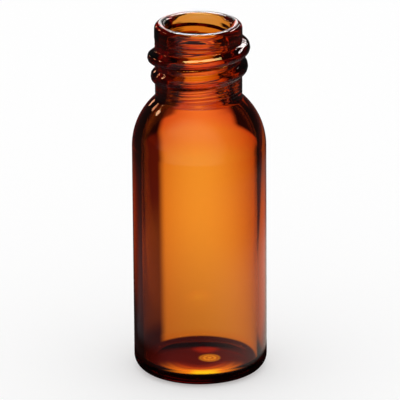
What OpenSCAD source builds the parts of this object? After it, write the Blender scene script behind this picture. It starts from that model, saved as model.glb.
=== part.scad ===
// Screw-neck sample vial, drawn and blown from one length of amber glass tube.
// +Z is up the axis, the origin is on the table under the middle of the foot.

/* [Body] */
// Overall height, foot to rim
height = 32; // [26:0.5:50]
// Outside diameter of the body
body_d = 11.85; // [11:0.05:16]
// Thickness of the body wall
wall_t = 0.8; // [0.6:0.05:1.1]

/* [Shoulder] */
// Height from the rim down to where the body starts to close in
shoulder_drop = 11.3; // [10.5:0.1:13]
// Outside radius of the round shoulder
shoulder_r = 6; // [5.5:0.1:8]
// Radius of the hollow where the shoulder meets the neck
root_fillet_r = 0.4; // [0.2:0.05:0.6]
// Radius inside, where the shoulder turns up into the bore
throat_r = 1.5; // [0.8:0.1:2]

/* [Neck] */
// Outside diameter of the neck under the thread
neck_d = 7.66; // [7.2:0.02:8]
// Diameter of the bore through the neck
bore_d = 5.5; // [4.6:0.1:5.8]
// Outside diameter of the fire-polished lip
lip_d = 7.74; // [7.5:0.02:8.2]
// Height of the lip ring above the plain neck
lip_h = 1.3; // [1:0.1:1.6]
// Radius of the lip's outer edge
lip_outer_r = 0.5; // [0.3:0.05:0.6]

/* [Thread] */
// Diameter over the thread
thread_d = 9.06; // [8.5:0.02:9.6]
// Rise in one turn
pitch = 1.73; // [1.5:0.01:2]
// Turns from end to end
thread_turns = 2.35; // [1.25:0.05:2.5]
// Width of the glass bead that makes the thread
bead_w = 1.36; // [1.1:0.02:1.48]
// Distance from the rim down to the middle of the bead at its upper end
thread_drop = 1.38; // [1.3:0.02:2.4]
// Direction in which the bead starts, from +X towards +Y
start_angle = 45; // [0:5:355]
// Angle over which the bead rises out of the neck
run_in = 80; // [40:5:180]
// Angle over which it sinks back in
run_out = 50; // [30:5:120]
// Height of the bead where it starts, as a share of its full height
start_share = 0.46; // [0.3:0.02:1]
// Angle over which it then grows to its full height
grow_angle = 650; // [360:10:720]

/* [Base] */
// Thickness of the floor at its edge
floor_t = 0.95; // [0.7:0.05:1.4]
// Radius of the heel, outside
heel_r = 1.2; // [0.8:0.1:1.6]
// Radius inside, between wall and floor
floor_fillet_r = 0.7; // [0.4:0.1:1.2]
// Width of the flat ring that the vial stands on
foot_w = 0.5; // [0.3:0.05:0.8]
// Height of the hollow under the base
punt_h = 0.35; // [0.2:0.05:0.5]
// Rise of the middle of the floor, inside
dome_h = 0.25; // [0.1:0.05:0.4]

/* [Hidden] */
glass = [0.72, 0.34, 0.06, 0.75];
body_r = body_d / 2;
inner_r = body_r - wall_t;
neck_r = neck_d / 2;
bore_r = bore_d / 2;
lip_r = lip_d / 2;
shoulder_z = height - shoulder_drop;
lip_z = height - lip_h;
// The rim is one round edge: what the outer radius leaves of the glass is the inner one.
lip_inner_r = lip_r - bore_r - lip_outer_r;
// Shoulder and its fillet are tangent, so their centres and the neck fix the angle.
shoulder_x = body_r - shoulder_r;
root_x = neck_r + root_fillet_r;
shoulder_turn = acos((root_x - shoulder_x) / (shoulder_r + root_fillet_r));
root_z = shoulder_z + (shoulder_r + root_fillet_r) * sin(shoulder_turn);
// Inside, the same for the throat, which is a bulge of the glass.
vault_r = shoulder_r - wall_t;
throat_x = bore_r + throat_r;
vault_turn = acos((throat_x - shoulder_x) / (vault_r + throat_r));
throat_z = shoulder_z + (vault_r + throat_r) * sin(vault_turn);
foot_r = body_r - heel_r;
punt_r = foot_r - foot_w;
floor_r = inner_r - floor_fillet_r;
// Radii of the spheres that the hollow under the base and the domed floor are cut from.
punt_sphere_r = (punt_r * punt_r + punt_h * punt_h) / (2 * punt_h);
dome_sphere_r = (floor_r * floor_r + dome_h * dome_h) / (2 * dome_h);
// Facets round the axis, and degrees between the points of an arc.
$fn = 128;
arc_step = 6;
thread_steps = 40;  // per turn
bead_steps = 10;    // across the bead
bead_root = 0.3;    // how deep the bead's foot is set into the neck
bead_sink = 0.04;   // how far below the neck's surface a bead of no height lies
back_flat = 2.75;   // the higher this power, the flatter the bead's back
back_foot = 1.4;    // the higher this one, the softer its meeting with the neck

// Points of an arc from angle a to angle b, both ends included.
function arc(x, z, r, a, b) =
    let (n = max(2, ceil(abs(b - a) / arc_step)))
    [for (i = [0:n]) let (t = a + (b - a) * i / n) [x + r * cos(t), z + r * sin(t)]];

// Points of a shallow cap of a sphere, from radius r to the axis; its middle is h above z.
function cap(r, z, h, sphere_r) =
    let (half = asin(r / sphere_r), n = 5)
    [for (i = [0:n]) let (t = half * (1 - i / n)) [sphere_r * sin(t), z + h - sphere_r * (1 - cos(t))]];

// Half of the glass in section: up the outside, over the rim and down the inside.
section = concat(
    [[foot_r, 0]],
    arc(foot_r, heel_r, heel_r, -84, 0),
    arc(shoulder_x, shoulder_z, shoulder_r, 0, shoulder_turn),
    arc(root_x, root_z, root_fillet_r, 180 + shoulder_turn - arc_step, 180),
    [[neck_r, lip_z - (lip_r - neck_r)], [lip_r, lip_z]],
    arc(lip_r - lip_outer_r, height - lip_outer_r, lip_outer_r, 0, 90),
    arc(bore_r + lip_inner_r, height - lip_inner_r, lip_inner_r, 90 + arc_step, 180),
    arc(throat_x, throat_z, throat_r, 180, 180 + vault_turn),
    arc(shoulder_x, shoulder_z, vault_r, vault_turn - arc_step, 0),
    arc(floor_r, floor_t + floor_fillet_r, floor_fillet_r, 0, -84),
    cap(floor_r, floor_t, dome_h, dome_sphere_r)
);
underside = cap(punt_r, 0, punt_h, punt_sphere_r);

// Smooth rise from 0 to 1.
function ease(t) = let (u = min(1, max(0, t))) u * u * (3 - 2 * u);

// Height of the bead above the neck at an angle a along it, as a share of its full height.
function bead_rise(a) =
    let (grown = start_share + (1 - start_share) * ease(a / grow_angle))
    grown * ease(a / run_in) * ease((360 * thread_turns - a) / run_out);

// Section of the bead's back: 1 in the middle, 0 at its sides, which are at -1 and 1.
function bead_back(u) = pow(1 - pow(abs(u), back_flat), back_foot);

// Points round the bead's section at angle a: its foot in the neck, then over its round back.
function bead_ring(a) =
    let (
        rise = bead_rise(a),
        z = height - thread_drop - pitch * (thread_turns - a / 360),
        low_r = neck_r - bead_sink,
        top_r = thread_d / 2,
        foot = [[neck_r - bead_root, -bead_w / 2], [neck_r - bead_root, bead_w / 2]],
        back = [for (i = [bead_steps:-1:0]) let (u = 2 * i / bead_steps - 1)
            [low_r + (top_r - low_r) * rise * bead_back(u), u * bead_w / 2]]
    )
    [for (p = concat(foot, back))
        [p[0] * cos(a + start_angle), p[0] * sin(a + start_angle), z + p[1]]];

// The thread: one round-backed bead, wound on a right-hand helix.
module thread() {
    rings = round(thread_turns * thread_steps);
    k = bead_steps + 3;
    points = [for (j = [0:rings]) each bead_ring(360 * j / thread_steps)];
    sides = [for (j = [0:rings - 1], i = [0:k - 1])
        let (a = j * k + i, b = j * k + (i + 1) % k)
        each [[a, b + k, b], [a, a + k, b + k]]];
    polyhedron(points, concat([[for (i = [0:k - 1]) i]], sides, [[for (i = [k - 1:-1:0]) rings * k + i]]));
}

// The vial, one piece of glass: body, shoulder, neck, lip and thread.
module vial() {
    color(glass) union() {
        rotate_extrude() polygon(concat(section, [for (i = [len(underside) - 1:-1:0]) underside[i]]));
        thread();
    }
}

vial();
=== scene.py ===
import math

import bpy
from mathutils import Matrix, Vector


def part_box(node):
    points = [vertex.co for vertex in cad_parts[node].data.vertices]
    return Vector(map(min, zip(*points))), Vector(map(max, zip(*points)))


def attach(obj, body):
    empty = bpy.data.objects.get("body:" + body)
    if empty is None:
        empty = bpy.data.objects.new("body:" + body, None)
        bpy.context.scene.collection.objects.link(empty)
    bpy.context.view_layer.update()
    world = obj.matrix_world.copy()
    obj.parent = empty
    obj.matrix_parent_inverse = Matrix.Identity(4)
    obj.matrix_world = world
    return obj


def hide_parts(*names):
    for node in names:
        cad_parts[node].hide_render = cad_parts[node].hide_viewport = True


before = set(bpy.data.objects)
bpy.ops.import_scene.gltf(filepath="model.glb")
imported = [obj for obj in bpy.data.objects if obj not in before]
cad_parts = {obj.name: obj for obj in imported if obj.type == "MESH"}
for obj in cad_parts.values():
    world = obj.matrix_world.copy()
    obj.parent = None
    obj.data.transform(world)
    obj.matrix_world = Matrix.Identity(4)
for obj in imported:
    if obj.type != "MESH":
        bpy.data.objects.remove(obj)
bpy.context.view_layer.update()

# ---------------------------------------------------------------------------
# Camera. A long lens, a little above the vial and straight in front of it.
# Lengths below are in millimetres, as the vial is drawn, until they meet Blender.
# ---------------------------------------------------------------------------
MM = 0.001
SENSOR = 36.0
PICTURE = 400
PIXELS_PER_MM = 11.303
camera_distance = 410.0
camera_elevation = math.radians(19.5)
camera_roll = math.radians(-0.425)
aim = Vector((0.045, 0.0, 15.575))

camera = bpy.data.objects.new("camera", bpy.data.cameras.new("camera"))
bpy.context.scene.collection.objects.link(camera)
bpy.context.scene.camera = camera
camera.data.sensor_width = SENSOR
camera.data.lens = PIXELS_PER_MM * camera_distance * SENSOR / PICTURE
camera.data.clip_start = 10 * MM
camera.data.clip_end = 10.0
looking_back = Vector((0.0, -math.cos(camera_elevation), math.sin(camera_elevation)))
stand = (aim + looking_back * camera_distance) * MM
turn = looking_back.to_track_quat("Z", "Y").to_matrix().to_4x4() @ Matrix.Rotation(camera_roll, 4, "Z")
camera.matrix_world = Matrix.Translation(stand) @ turn

# ---------------------------------------------------------------------------
# The vial. One length of clear amber glass tube, drawn in to a neck, rolled to a
# thread, flame-rounded at the lip and closed to a slightly hollow base.
# ---------------------------------------------------------------------------
height = (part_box("vial")[1] / MM).z

# Body, shoulder, neck, lip and base: radii, and heights above the table.
body_r = 11.85 / 2
wall_t = 0.8
shoulder_z = height - 11.3
shoulder_r = 6.0
root_fillet_r = 0.4
throat_r = 1.5
neck_r = 7.66 / 2
bore_r = 5.5 / 2
lip_r = 7.74 / 2
lip_z = height - 1.3
lip_bevel = 0.04
lip_outer_r = 0.5
floor_t = 0.95
heel_r = 1.2
floor_fillet_r = 0.7
foot_w = 0.5
punt_h = 0.35
dome_h = 0.25

# Thread: one bead on a helix. Its drop is from the rim to its upper end; angles are in degrees.
thread_r = 9.06 / 2
pitch = 1.73
thread_turns = 2.35
bead_w = 1.36
thread_drop = 1.38
start_angle = 45.0
run_in = 80.0
run_out = 50.0
start_share = 0.46
grow_angle = 650.0
# The higher the first power, the flatter the bead's back; the second softens its foot.
back_flat = 2.75
back_foot = 1.4

# Roller marks: their depth, the height where those along the thread give way to level ones,
# and over how much height they fade out at the shoulder and under the rim.
mark_depth = 0.009
level_marks_z = 29.6
fade_in = 0.5
fade_out = 0.4
clear_rim = 0.7

# Mesh: points round the axis, degrees along an arc, and millimetres up the threaded neck.
sides = 256
arc_step = 3.0
neck_step = 0.045

# Where the rounds of the section meet, worked out so that each is tangent to the next.
inner_r = body_r - wall_t
lip_inner_r = lip_r - bore_r - lip_outer_r
shoulder_x = body_r - shoulder_r
root_x = neck_r + root_fillet_r
shoulder_turn = math.degrees(math.acos((root_x - shoulder_x) / (shoulder_r + root_fillet_r)))
root_z = shoulder_z + (shoulder_r + root_fillet_r) * math.sin(math.radians(shoulder_turn))
vault_r = shoulder_r - wall_t
throat_x = bore_r + throat_r
vault_turn = math.degrees(math.acos((throat_x - shoulder_x) / (vault_r + throat_r)))
throat_z = shoulder_z + (vault_r + throat_r) * math.sin(math.radians(vault_turn))
foot_r = body_r - heel_r
punt_r = foot_r - foot_w
floor_r = inner_r - floor_fillet_r


def arc(x, z, r, start, end, step=arc_step):
    """Points of an arc in the vial's section, both ends included; angles in degrees."""
    n = max(2, math.ceil(abs(end - start) / step))
    angles = [math.radians(start + (end - start) * i / n) for i in range(n + 1)]
    return [(x + r * math.cos(a), z + r * math.sin(a)) for a in angles]


def run(x0, z0, x1, z1, step):
    """Points of a straight stretch, without its ends."""
    n = max(1, math.ceil(math.hypot(x1 - x0, z1 - z0) / step))
    return [(x0 + (x1 - x0) * i / n, z0 + (z1 - z0) * i / n) for i in range(1, n)]


def cap(r, z, h, step):
    """Points of a shallow spherical cap from radius r in to the axis, where it is h above z."""
    sphere = (r * r + h * h) / (2 * h)
    n = math.ceil(r / step)
    radii = [r * (1 - i / n) for i in range(n + 1)]
    return [(x, z + h - sphere + math.sqrt(sphere * sphere - x * x)) for x in radii]


def ease(t):
    """Rises smoothly from 0 to 1."""
    t = min(1.0, max(0.0, t))
    return t * t * (3 - 2 * t)


def bead(angle, z):
    """How far the thread stands out of the neck at an angle round the axis and a height."""
    tallest = 0.0
    for turn_no in range(math.ceil(thread_turns)):
        along = (angle - start_angle) % 360.0 + 360.0 * turn_no
        if along > 360.0 * thread_turns:
            continue
        middle = height - thread_drop - pitch * (thread_turns - along / 360.0)
        across = abs(z - middle) / (bead_w / 2)
        if across >= 1.0:
            continue
        back = (1.0 - across ** back_flat) ** back_foot
        rise = ease(along / run_in) * ease((360.0 * thread_turns - along) / run_out)
        rise *= start_share + (1.0 - start_share) * ease(along / grow_angle)
        tallest = max(tallest, (thread_r - neck_r) * rise * back)
    return tallest


def marks(angle, z):
    """Fine wavering ridges that the forming rollers leave on the neck."""
    a = math.radians(angle)
    # Along the thread there are six and ten ridges to a turn.
    wound = 2 * math.pi * (z / pitch - angle / 360.0)
    below = math.sin(6 * wound + 0.7 * math.sin(a))
    below = below + 0.7 * math.sin(10 * wound + 1.3 + 0.9 * math.sin(2 * a + 1))
    # Round the lip they are level, 0.33 and 0.21 mm apart.
    level = 2 * math.pi * z
    above = math.sin(level / 0.33 + 1.1 * math.sin(a + 2))
    above = above + 0.8 * math.sin(level / 0.21 + 0.8 * math.sin(3 * a))
    upper = ease(z - level_marks_z)
    fade = ease((z - root_z) / fade_in) * ease((height - clear_rim - z) / fade_out)
    return mark_depth * fade * (above * upper + below * (1 - upper))


# Half of the glass in section, from the middle of the underside, up the outside, over the
# rim and down the inside to the middle of the floor. The last number of a call is its step:
# degrees along an arc, millimetres along a straight stretch or a cap.
outside = (
    list(reversed(cap(punt_r, 0.0, punt_h, 0.12)))
    + [(foot_r, 0.0)]
    + arc(foot_r, heel_r, heel_r, -84, 0)
    + run(body_r, heel_r, body_r, shoulder_z, 3.0)
    + arc(shoulder_x, shoulder_z, shoulder_r, 0, shoulder_turn, 1.5)
    + arc(root_x, root_z, root_fillet_r, 180 + shoulder_turn - 6, 180, 8)
)
threaded = run(neck_r, root_z, neck_r, lip_z - lip_bevel, neck_step)
lip_and_inside = (
    [(neck_r, lip_z - lip_bevel), (lip_r, lip_z)]
    + run(lip_r, lip_z, lip_r, height - lip_outer_r, neck_step)
    + arc(lip_r - lip_outer_r, height - lip_outer_r, lip_outer_r, 0, 90, 6)
    + arc(bore_r + lip_inner_r, height - lip_inner_r, lip_inner_r, 96, 180, 6)
    + run(bore_r, height - lip_inner_r, bore_r, throat_z, 1.0)
    + arc(throat_x, throat_z, throat_r, 180, 180 + vault_turn, 4)
    + arc(shoulder_x, shoulder_z, vault_r, vault_turn - arc_step, 0)
    + run(inner_r, shoulder_z, inner_r, floor_t + floor_fillet_r, 3.0)
    + arc(floor_r, floor_t + floor_fillet_r, floor_fillet_r, 0, -84, 6)
    + cap(floor_r, floor_t, dome_h, 0.25)
)
section = outside[1:] + threaded + lip_and_inside[:-1]
punt_top = outside[0]
dome_top = lip_and_inside[-1]

# The section is turned round the axis, and on the neck it is pushed out to the thread.
points = [(0.0, 0.0, punt_top[1] * MM)]
for r, z in section:
    on_neck = root_z < z < height - lip_outer_r and r >= neck_r
    for side in range(sides):
        angle = 360.0 * side / sides
        out = max(r, neck_r + bead(angle, z)) + marks(angle, z) if on_neck else r
        a = math.radians(angle)
        points.append((out * math.cos(a) * MM, out * math.sin(a) * MM, z * MM))
points.append((0.0, 0.0, dome_top[1] * MM))

faces = []
for side in range(sides):
    beside = (side + 1) % sides
    faces.append((0, 1 + beside, 1 + side))
    for ring in range(len(section) - 1):
        a, b = 1 + ring * sides + side, 1 + ring * sides + beside
        faces.append((a, b, b + sides, a + sides))
    last = 1 + (len(section) - 1) * sides
    faces.append((last + side, last + beside, len(points) - 1))

mesh = bpy.data.meshes.new("vial_glass")
mesh.from_pydata(points, [], faces)
mesh.validate()
mesh.shade_smooth()
vial = bpy.data.objects.new("vial_glass", mesh)
bpy.context.scene.collection.objects.link(vial)
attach(vial, "root")
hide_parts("vial")


# Its material. The glass is fire-polished and coloured in the melt, so the colour comes from
# the thickness that light goes through. The bump is the unevenness that drawing the tube leaves.
class Wire:
    """An output of a shader node. Arithmetic on wires adds Math nodes to the same tree."""

    # A Mix node's sockets for colours share their names with others, so they go by number.
    FACTOR, FIRST, SECOND, RESULT = 0, 6, 7, 2

    def __init__(self, socket):
        self.socket = socket
        self.tree = socket.id_data

    @staticmethod
    def node(tree, kind, settings, inputs, output=0):
        """Adds a node: its settings first, then the values or links of its sockets."""
        made = tree.nodes.new(kind)
        for name, value in settings.items():
            setattr(made, name, value)
        for name, value in inputs.items():
            if isinstance(value, Wire):
                tree.links.new(value.socket, made.inputs[name])
            else:
                made.inputs[name].default_value = value
        return Wire(made.outputs[output]) if made.outputs else made

    def math(self, operation, first, second=0.0):
        inputs = {0: first, 1: second}
        return Wire.node(self.tree, "ShaderNodeMath", {"operation": operation}, inputs)

    def __add__(self, other):
        return self.math("ADD", self, other)

    def __sub__(self, other):
        return self.math("SUBTRACT", self, other)

    def __rsub__(self, other):
        return self.math("SUBTRACT", other, self)

    def __mul__(self, other):
        return self.math("MULTIPLY", self, other)

    def __truediv__(self, other):
        return self.math("DIVIDE", self, other)

    def power(self, exponent):
        return self.math("POWER", self, exponent)

    def sine(self):
        return self.math("SINE", self)

    def step(self, low, high):
        """Rises smoothly from 0 at low to 1 at high."""
        inputs = {"Value": self, "From Min": low, "From Max": high}
        return Wire.node(self.tree, "ShaderNodeMapRange", {"interpolation_type": "SMOOTHSTEP"}, inputs)

    def tinted(self, colour):
        """Multiplies two colours."""
        settings = {"data_type": "RGBA", "blend_type": "MULTIPLY"}
        inputs = {self.FACTOR: 1.0, self.FIRST: self, self.SECOND: colour}
        return Wire.node(self.tree, "ShaderNodeMix", settings, inputs, self.RESULT)

    def blend(self, first, second):
        """Mixes two colours, all of the second where this wire is 1."""
        first, second = (c if isinstance(c, Wire) else (*c, 1.0) for c in (first, second))
        inputs = {self.FACTOR: self, self.FIRST: first, self.SECOND: second}
        return Wire.node(self.tree, "ShaderNodeMix", {"data_type": "RGBA"}, inputs, self.RESULT)

    __radd__ = __add__
    __rmul__ = __mul__


glass = bpy.data.materials.new("amber_glass")
glass.use_nodes = True
tree = glass.node_tree
tree.nodes.clear()
place = Wire.node(tree, "ShaderNodeTexCoord", {}, {}, "Object")
wave = Wire.node(tree, "ShaderNodeTexNoise", {}, {"Vector": place, "Scale": 260.0, "Detail": 1.0})
ripple = Wire.node(tree, "ShaderNodeBump", {}, {"Height": wave, "Strength": 0.02, "Distance": 0.0002})
surface = Wire.node(
    tree,
    "ShaderNodeBsdfPrincipled",
    {},
    {
        "Base Color": (1.0, 1.0, 1.0, 1.0),
        "Roughness": 0.0,
        "IOR": 1.5,
        "Transmission Weight": 1.0,
        "Normal": ripple,
    },
)
melt = {"Color": (0.98, 0.7, 0.03, 1.0), "Density": 2400.0}
tint = Wire.node(tree, "ShaderNodeVolumeAbsorption", {}, melt)
Wire.node(tree, "ShaderNodeOutputMaterial", {}, {"Surface": surface, "Volume": tint})
vial.data.materials.append(glass)

# ---------------------------------------------------------------------------
# The table. A white board, plain with a soft shadow where the camera sees it.
# What the glass sees of it is a studio set painted into its colour: white paper
# between dark cards on each of its four sides, painted shadow round the foot,
# and painted shade under the base with painted pools of light in it.
# ---------------------------------------------------------------------------
floor_mesh = bpy.data.meshes.new("floor")
half_table = 3000 * MM
corners = [
    (-half_table, -half_table, 0),
    (half_table, -half_table, 0),
    (half_table, half_table, 0),
    (-half_table, half_table, 0),
]
floor_mesh.from_pydata(corners, [], [(0, 1, 2, 3)])
floor = bpy.data.objects.new("floor", floor_mesh)
bpy.context.scene.collection.objects.link(floor)

# Each side's sheet of white paper: the way it lies from the vial in degrees, how fast its right
# edge opens, where it begins, the slope past which a flag covers it, and how soft its edges are.
# Places on the table are in millimetres from the vial's axis.
papers = (
    (0, 2.2, 0, 2.0, 2),
    (90, 1.3, 0, 0.15, 2),
    (180, 0.95, 14, 0.9, 9),
    (270, 2.2, 0, 2.0, 2),
)

# Behind the vial the table reddens in stages: from and to how far away, and the colour.
rear_shades = (
    (53.0, 66.0, (1.0, 0.76, 0.9)),
    (66.0, 90.0, (1.0, 0.56, 1.1)),
    (88.0, 120.0, (0.6, 0.26, 0.8)),
    (190.0, 330.0, (0.94, 0.58, 0.7)),
)

# Colours of the painted shadow round the foot, the cards and the paper. Through the mouth, only one
# wall of glass is between.
near_shade = (0.58, 0.54, 0.54)
near_card = (0.19, 0.09, 0.09)
far_card = (0.113, 0.022, 0.026)
back_left_card = (0.015, 0.003, 0.003)
foot_shadow = (0.05, 0.01, 0.01)
paper_middle = (1.11, 1.02, 1.02)
paper_sides = (0.7, 0.3, 0.3)
paper_by_mouth = (0.74, 0.6, 0.55)

# Colours of the painted shade and light under the base: its painted shadow near the middle
# and near the foot, and its painted pools of light: the red patch, the dark and light rings
# of the pale spot, and the golden sweep at its inner edge, at its outer edge and where it is
# brightest.
shadow_under_middle = (0.13, 0.014, 0.018)
shadow_under_foot = (0.045, 0.006, 0.008)
red_patch = (0.5, 0.06, 0.06)
spot_dark = (0.75, 0.5, 0.4)
spot_light = (1.15, 1.3, 1.0)
sweep_inner = (1.5, 0.35, 0.4)
sweep_outer = (1.5, 1.1, 0.6)
sweep_middle = (2.0, 3.0, 0.8)


def distance(x, y):
    """How far a place on the table is from the axis, or from what was taken off x and y."""
    return (x * x + y * y).power(0.5)


def table_beyond(x, y, walls):
    """What straight light through the glass finds: white paper between dark cards, painted shadow
    round the foot, and painted shade and light under the base.
    """
    away = distance(x, y)
    near = away.step(0.0, 45.0)

    # The table darkens towards the foot, a painted shadow of the vial, and reddens behind, where only
    # neck and shoulder look.
    shade = near.blend(near_shade, (1.0, 1.0, 1.0))
    rear = (y / (away + 1.0)).step(0.5, 0.9)
    for begins, full, reddened in rear_shades:
        shade = (away.step(begins, full) * rear).blend(shade, reddened)

    # The dark cards, with a darker one at the back on the left.
    colour = away.step(35.0, 48.0).blend(near_card, far_card)
    leftward = (x * -1.0) / (away + 1.0)
    card = leftward.step(0.0, 0.1) * away.step(80.0, 66.0) * y.step(-10.0, 0.0)
    card = card * (1.0 - leftward.step(0.34, 0.44) * away.step(34.0, 44.0))
    colour = card.blend(back_left_card, colour)
    # Darkest right round the foot: painted shadow.
    colour = away.step(9.0, 14.0).blend(foot_shadow, colour).tinted(shade)

    # The sheets of paper, each brightest along its middle line.
    for towards, spread, start, wide, soft in papers:
        c, s = math.cos(math.radians(towards)), math.sin(math.radians(towards))
        across = x * s - y * c
        ahead = x * c + y * s
        left = across + ahead * 0.112 + ahead.step(62.0, 75.0) * 1.3 + 3.25
        left = left / (ahead * 0.026 + 0.4)
        right = 35.0 - ahead * 0.1 + ahead.step(50.0, 60.0) * 6.0
        right = (right + away.step(60.0, 140.0) * away * 2.0 - across) / 12.0
        corner = (ahead * spread + 5.0 - across) / soft
        slope = across / (ahead + 1.0)
        flag = slope.step(wide - 0.03, wide + 0.03) * ahead.step(76.0, 86.0)
        flag = flag + slope.step(-0.07, -0.12) * ahead.step(90.0, 100.0) * 0.7
        window = left.step(-1.0, 1.0) * right.step(-1.0, 1.0) * corner.step(-1.0, 1.0)
        window = window * ahead.step(start, start + soft) * (1.0 - flag)
        aside = (across - 2.8 + near * 2.6) / 8.9
        light = (aside * aside + 1.0).power(-1.0).blend(paper_sides, paper_middle)
        light = walls.step(3.4, 2.6).blend(light.tinted(shade), paper_by_mouth)
        colour = window.blend(colour, light)

    # Under the base, painted shade with painted pools of light in it: a red patch, a pale ringed spot
    # and a golden sweep in front.
    spot = distance(x - 0.8, y - 0.3)
    rings = (spot * 16.0).sine() * 0.5 + 0.5
    patch = distance(x - 0.5, y - 2.8).step(1.6, 0.6)
    streaks = (away * 9.0).sine() * 0.2 + 0.8
    middle = ((x - 0.4) / 1.6).power(2.0).step(1.0, 0.0)
    sweep = away.step(1.0, 3.9) * y.step(-0.2, -2.2)
    sweep = sweep * ((x - 0.1) / 3.7).power(2.0).step(1.2, 0.0) * streaks
    under = away.step(2.2, 5.6).blend(shadow_under_middle, shadow_under_foot)
    under = patch.blend(under, red_patch)
    under = spot.step(1.15, 0.6).blend(under, rings.blend(spot_dark, spot_light))
    gold = away.step(1.6, 3.4).blend(sweep_inner, sweep_outer)
    under = sweep.blend(under, (middle * away.step(2.2, 4.0)).blend(gold, sweep_middle))
    return away.step(6.4, 5.6).blend(colour, under)


def table_within(x, y):
    """What light finds that has first been turned round inside the glass."""
    away = distance(x, y)
    right = (y * 0.2 - x + 25.0).step(-2.5, 2.5) * (y - x * 0.2).step(0.0, 2.5) * x.step(4.0, 12.0)
    right = right * (1.1 - x * 0.9 / (away + 1.0)) * (away.step(58.0, 42.0) * 0.55 + 0.45)
    right = right * away.step(100.0, 75.0)
    left = (x / (away + 1.0) + 1.0).power(5.0) * x.step(-5.0, -14.0) * y.step(0.0, 3.0)
    left = (left + x.step(-8.0, -14.0) * 0.01) * away.step(8.0, 24.0) * away.step(70.0, 25.0)
    colour = right.blend((0.008, 0.003, 0.003), (1.0, 0.62, 0.45))
    # Brighter than white on the left: a painted patch of light.
    colour = left.blend(colour, (4.4, 1.7, 1.5))

    # The painted pool of light under the base again, as the heel turns it.
    sweep = away.step(3.6, 4.6) * away.step(6.9, 6.2) * y.step(-1.5, -3.4)
    sweep = sweep * ((x - 0.3) / 3.5).power(2.0).step(1.2, 0.0)
    middle = ((x - 0.4) / 1.8).power(2.0).step(1.0, 0.0)
    return sweep.blend(colour, middle.blend((1.2, 1.2, 0.5), (1.3, 3.0, 0.8)))


def table_gloss(x, y):
    """What the outside of the glass mirrors of the table."""
    away = distance(x, y)
    # Near the vial the table is painted lighter on the right: a painted pool of light from that side.
    side = (x * 0.94 + y * 0.34) / (away + 1.0)
    dark = away.step(30.0, 54.0).blend((0.13, 0.13, 0.15), (0.04, 0.04, 0.05))
    light = away.step(28.0, 46.0).blend((0.55, 0.52, 0.48), (0.13, 0.13, 0.13))
    colour = side.step(-0.45, 0.8).blend(dark, light)
    colour = away.step(56.0, 64.0).blend(colour, (0.03, 0.03, 0.03))

    # Dark at the back on the left and round the foot, and pale again far in front.
    aside = ((y + 2.5) / (away + 1.0)).step(0.5, 0.75) * x.step(0.0, -5.0)
    aside = aside + (x / (away + 1.0)).step(-0.6, -0.9) * away.step(15.0, 11.0)
    colour = aside.blend(colour, (0.025, 0.02, 0.02))
    colour = away.step(9.6, 8.2).blend(colour, (0.005, 0.005, 0.005))
    front = (x * -0.17 - y * 0.98) / (away + 1.0)
    band = front.step(0.5, 0.85) * away.step(69.0, 77.0)
    return band.blend(colour, (0.36, 0.36, 0.36))


table = bpy.data.materials.new("white_table")
table.use_nodes = True
tree = table.node_tree
tree.nodes.clear()
where = Wire.node(tree, "ShaderNodeNewGeometry", {}, {}, "Position")
split = Wire.node(tree, "ShaderNodeSeparateXYZ", {}, {"Vector": where}).socket.node
x, y = (Wire(split.outputs[axis]) * (1 / MM) for axis in "XY")
seen = Wire.node(tree, "ShaderNodeLightPath", {}, {}).socket.node
through = Wire(seen.outputs["Is Transmission Ray"])
mirrored = Wire(seen.outputs["Is Glossy Ray"])
turned = Wire(seen.outputs["Glossy Depth"]).step(0.4, 0.6)
walls = Wire(seen.outputs["Transmission Depth"])

# The camera's own view: a matt white board, a third of it even white, which softens the shadow.
board = Wire.node(tree, "ShaderNodeBsdfDiffuse", {}, {"Color": (0.99, 0.99, 0.99, 1)})
white = Wire.node(tree, "ShaderNodeEmission", {}, {"Color": (1, 1, 1, 1), "Strength": 1.0})
plain = Wire.node(tree, "ShaderNodeMixShader", {}, {0: 0.35, 1: board, 2: white})

# The glass's view: light that went through it, or was mirrored by it.
beyond = turned.blend(table_beyond(x, y, walls), table_within(x, y))
passed = Wire.node(tree, "ShaderNodeEmission", {}, {"Color": beyond, "Strength": 1.0})
shone = Wire.node(tree, "ShaderNodeEmission", {}, {"Color": table_gloss(x, y), "Strength": 1.0})
mixed = Wire.node(tree, "ShaderNodeMixShader", {}, {0: mirrored, 1: plain, 2: shone})
mixed = Wire.node(tree, "ShaderNodeMixShader", {}, {0: through, 1: mixed, 2: passed})
Wire.node(tree, "ShaderNodeOutputMaterial", {}, {"Surface": mixed})
floor_mesh.materials.append(table)

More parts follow.
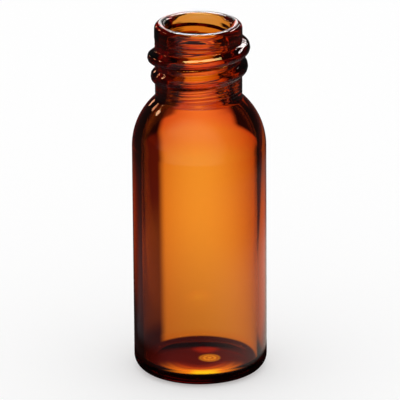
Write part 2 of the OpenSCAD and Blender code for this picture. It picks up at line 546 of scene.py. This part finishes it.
# ---------------------------------------------------------------------------
# The room. Plain white round the camera and as the only light on the table;
# in the glass's shine, soft boxes on stands behind, above and beside the vial.
# ---------------------------------------------------------------------------
# Soft boxes: azimuth from +X and elevation in degrees, half width and half height in radians,
# and colour. One hangs overhead and three behind, eight follow one long strip behind on the
# right, and three stand on the left.
soft_boxes = (
    (90.0, 82.0, 0.35, 0.07, (15.0, 9.5, 3.5)),
    (90.0, 46.0, 0.24, 0.16, (16.0, 16.0, 16.0)),
    (90.0, 28.0, 0.2, 0.13, (0.9, 0.9, 0.9)),
    (90.0, 13.0, 0.14, 0.1, (3.2, 3.2, 3.2)),
    (43.0, 41.5, 0.04, 0.035, (13.0, 12.0, 12.0)),
    (48.0, 38.0, 0.045, 0.035, (13.0, 12.0, 12.0)),
    (53.5, 36.0, 0.045, 0.035, (13.0, 12.0, 12.0)),
    (58.5, 33.5, 0.035, 0.04, (13.0, 12.0, 12.0)),
    (62.0, 29.5, 0.025, 0.05, (12.0, 11.0, 11.0)),
    (64.5, 24.0, 0.025, 0.05, (9.0, 8.5, 8.5)),
    (67.5, 18.5, 0.03, 0.045, (6.0, 5.5, 5.5)),
    (71.5, 13.5, 0.03, 0.045, (4.0, 3.6, 3.6)),
    (154.0, 31.0, 0.06, 0.06, (12.0, 6.5, 3.5)),
    (137.0, 22.0, 0.05, 0.06, (6.0, 2.2, 1.0)),
    (118.0, 9.0, 0.04, 0.05, (5.0, 2.2, 1.2)),
)

# The far end of each side's paper lies this many degrees round from straight ahead.
paper_drift = 8


def room_gloss(x, y, z):
    """The room in the glass's shine: a pale wall in front, and the soft boxes."""
    front = (x * -0.26 - y * 0.97).step(0.35, 0.7)
    wall = z.step(0.3, 0.6).blend((0.28, 0.28, 0.28), (0.5, 0.5, 0.5))
    colour = front.blend((0.02, 0.02, 0.02), wall)
    for azimuth, elevation, wide, tall, lamp in soft_boxes:
        a, e = math.radians(azimuth), math.radians(elevation)
        side = x * math.sin(a) - y * math.cos(a)
        level = x * math.cos(a) + y * math.sin(a)
        rise = level * -math.sin(e) + z * math.cos(e)
        facing = level * math.cos(e) + z * math.sin(e)
        edge = (side / wide).power(6.0) + (rise / tall).power(6.0)
        colour = (edge.step(1.3, 0.7) * facing.step(0.3, 0.4)).blend(colour, lamp)
    return colour


def room_beyond(x, y, z):
    """The room through the glass: dark, with a glow over the far end of each sheet of paper."""
    glow = 0.0
    for towards in (0, 90, 180, 270):
        a = math.radians(towards - paper_drift)
        glow = (x * math.cos(a) + y * math.sin(a)).step(0.95, 0.985) + glow
    return (glow * z.step(0.22, 0.1)).blend((0.005, 0.002, 0.002), (0.33, 0.08, 0.06))


world = bpy.data.worlds.new("studio")
bpy.context.scene.world = world
world.use_nodes = True
tree = world.node_tree
tree.nodes.clear()
way = Wire.node(tree, "ShaderNodeTexCoord", {}, {}, "Generated")
split = Wire.node(tree, "ShaderNodeSeparateXYZ", {}, {"Vector": way}).socket.node
x, y, z = (Wire(split.outputs[axis]) for axis in "XYZ")
seen = Wire.node(tree, "ShaderNodeLightPath", {}, {}).socket.node
mirrored = Wire(seen.outputs["Is Glossy Ray"])
through = Wire(seen.outputs["Is Transmission Ray"])
plain = Wire.node(tree, "ShaderNodeBackground", {}, {"Color": (1, 1, 1, 1), "Strength": 1.0})
shone = Wire.node(tree, "ShaderNodeBackground", {}, {"Color": room_gloss(x, y, z), "Strength": 1.0})
passed = Wire.node(tree, "ShaderNodeBackground", {}, {"Color": room_beyond(x, y, z), "Strength": 1.0})
mixed = Wire.node(tree, "ShaderNodeMixShader", {}, {0: mirrored, 1: plain, 2: shone})
mixed = Wire.node(tree, "ShaderNodeMixShader", {}, {0: through, 1: mixed, 2: passed})
Wire.node(tree, "ShaderNodeOutputWorld", {}, {"Surface": mixed})

# ---------------------------------------------------------------------------
# How the picture is worked out. Colours as they are written, and enough bounces
# for light that goes round inside the glass.
# ---------------------------------------------------------------------------
bpy.context.scene.view_settings.view_transform = "Standard"
bpy.context.scene.cycles.max_bounces = 24
bpy.context.scene.cycles.transmission_bounces = 24
bpy.context.scene.cycles.glossy_bounces = 16
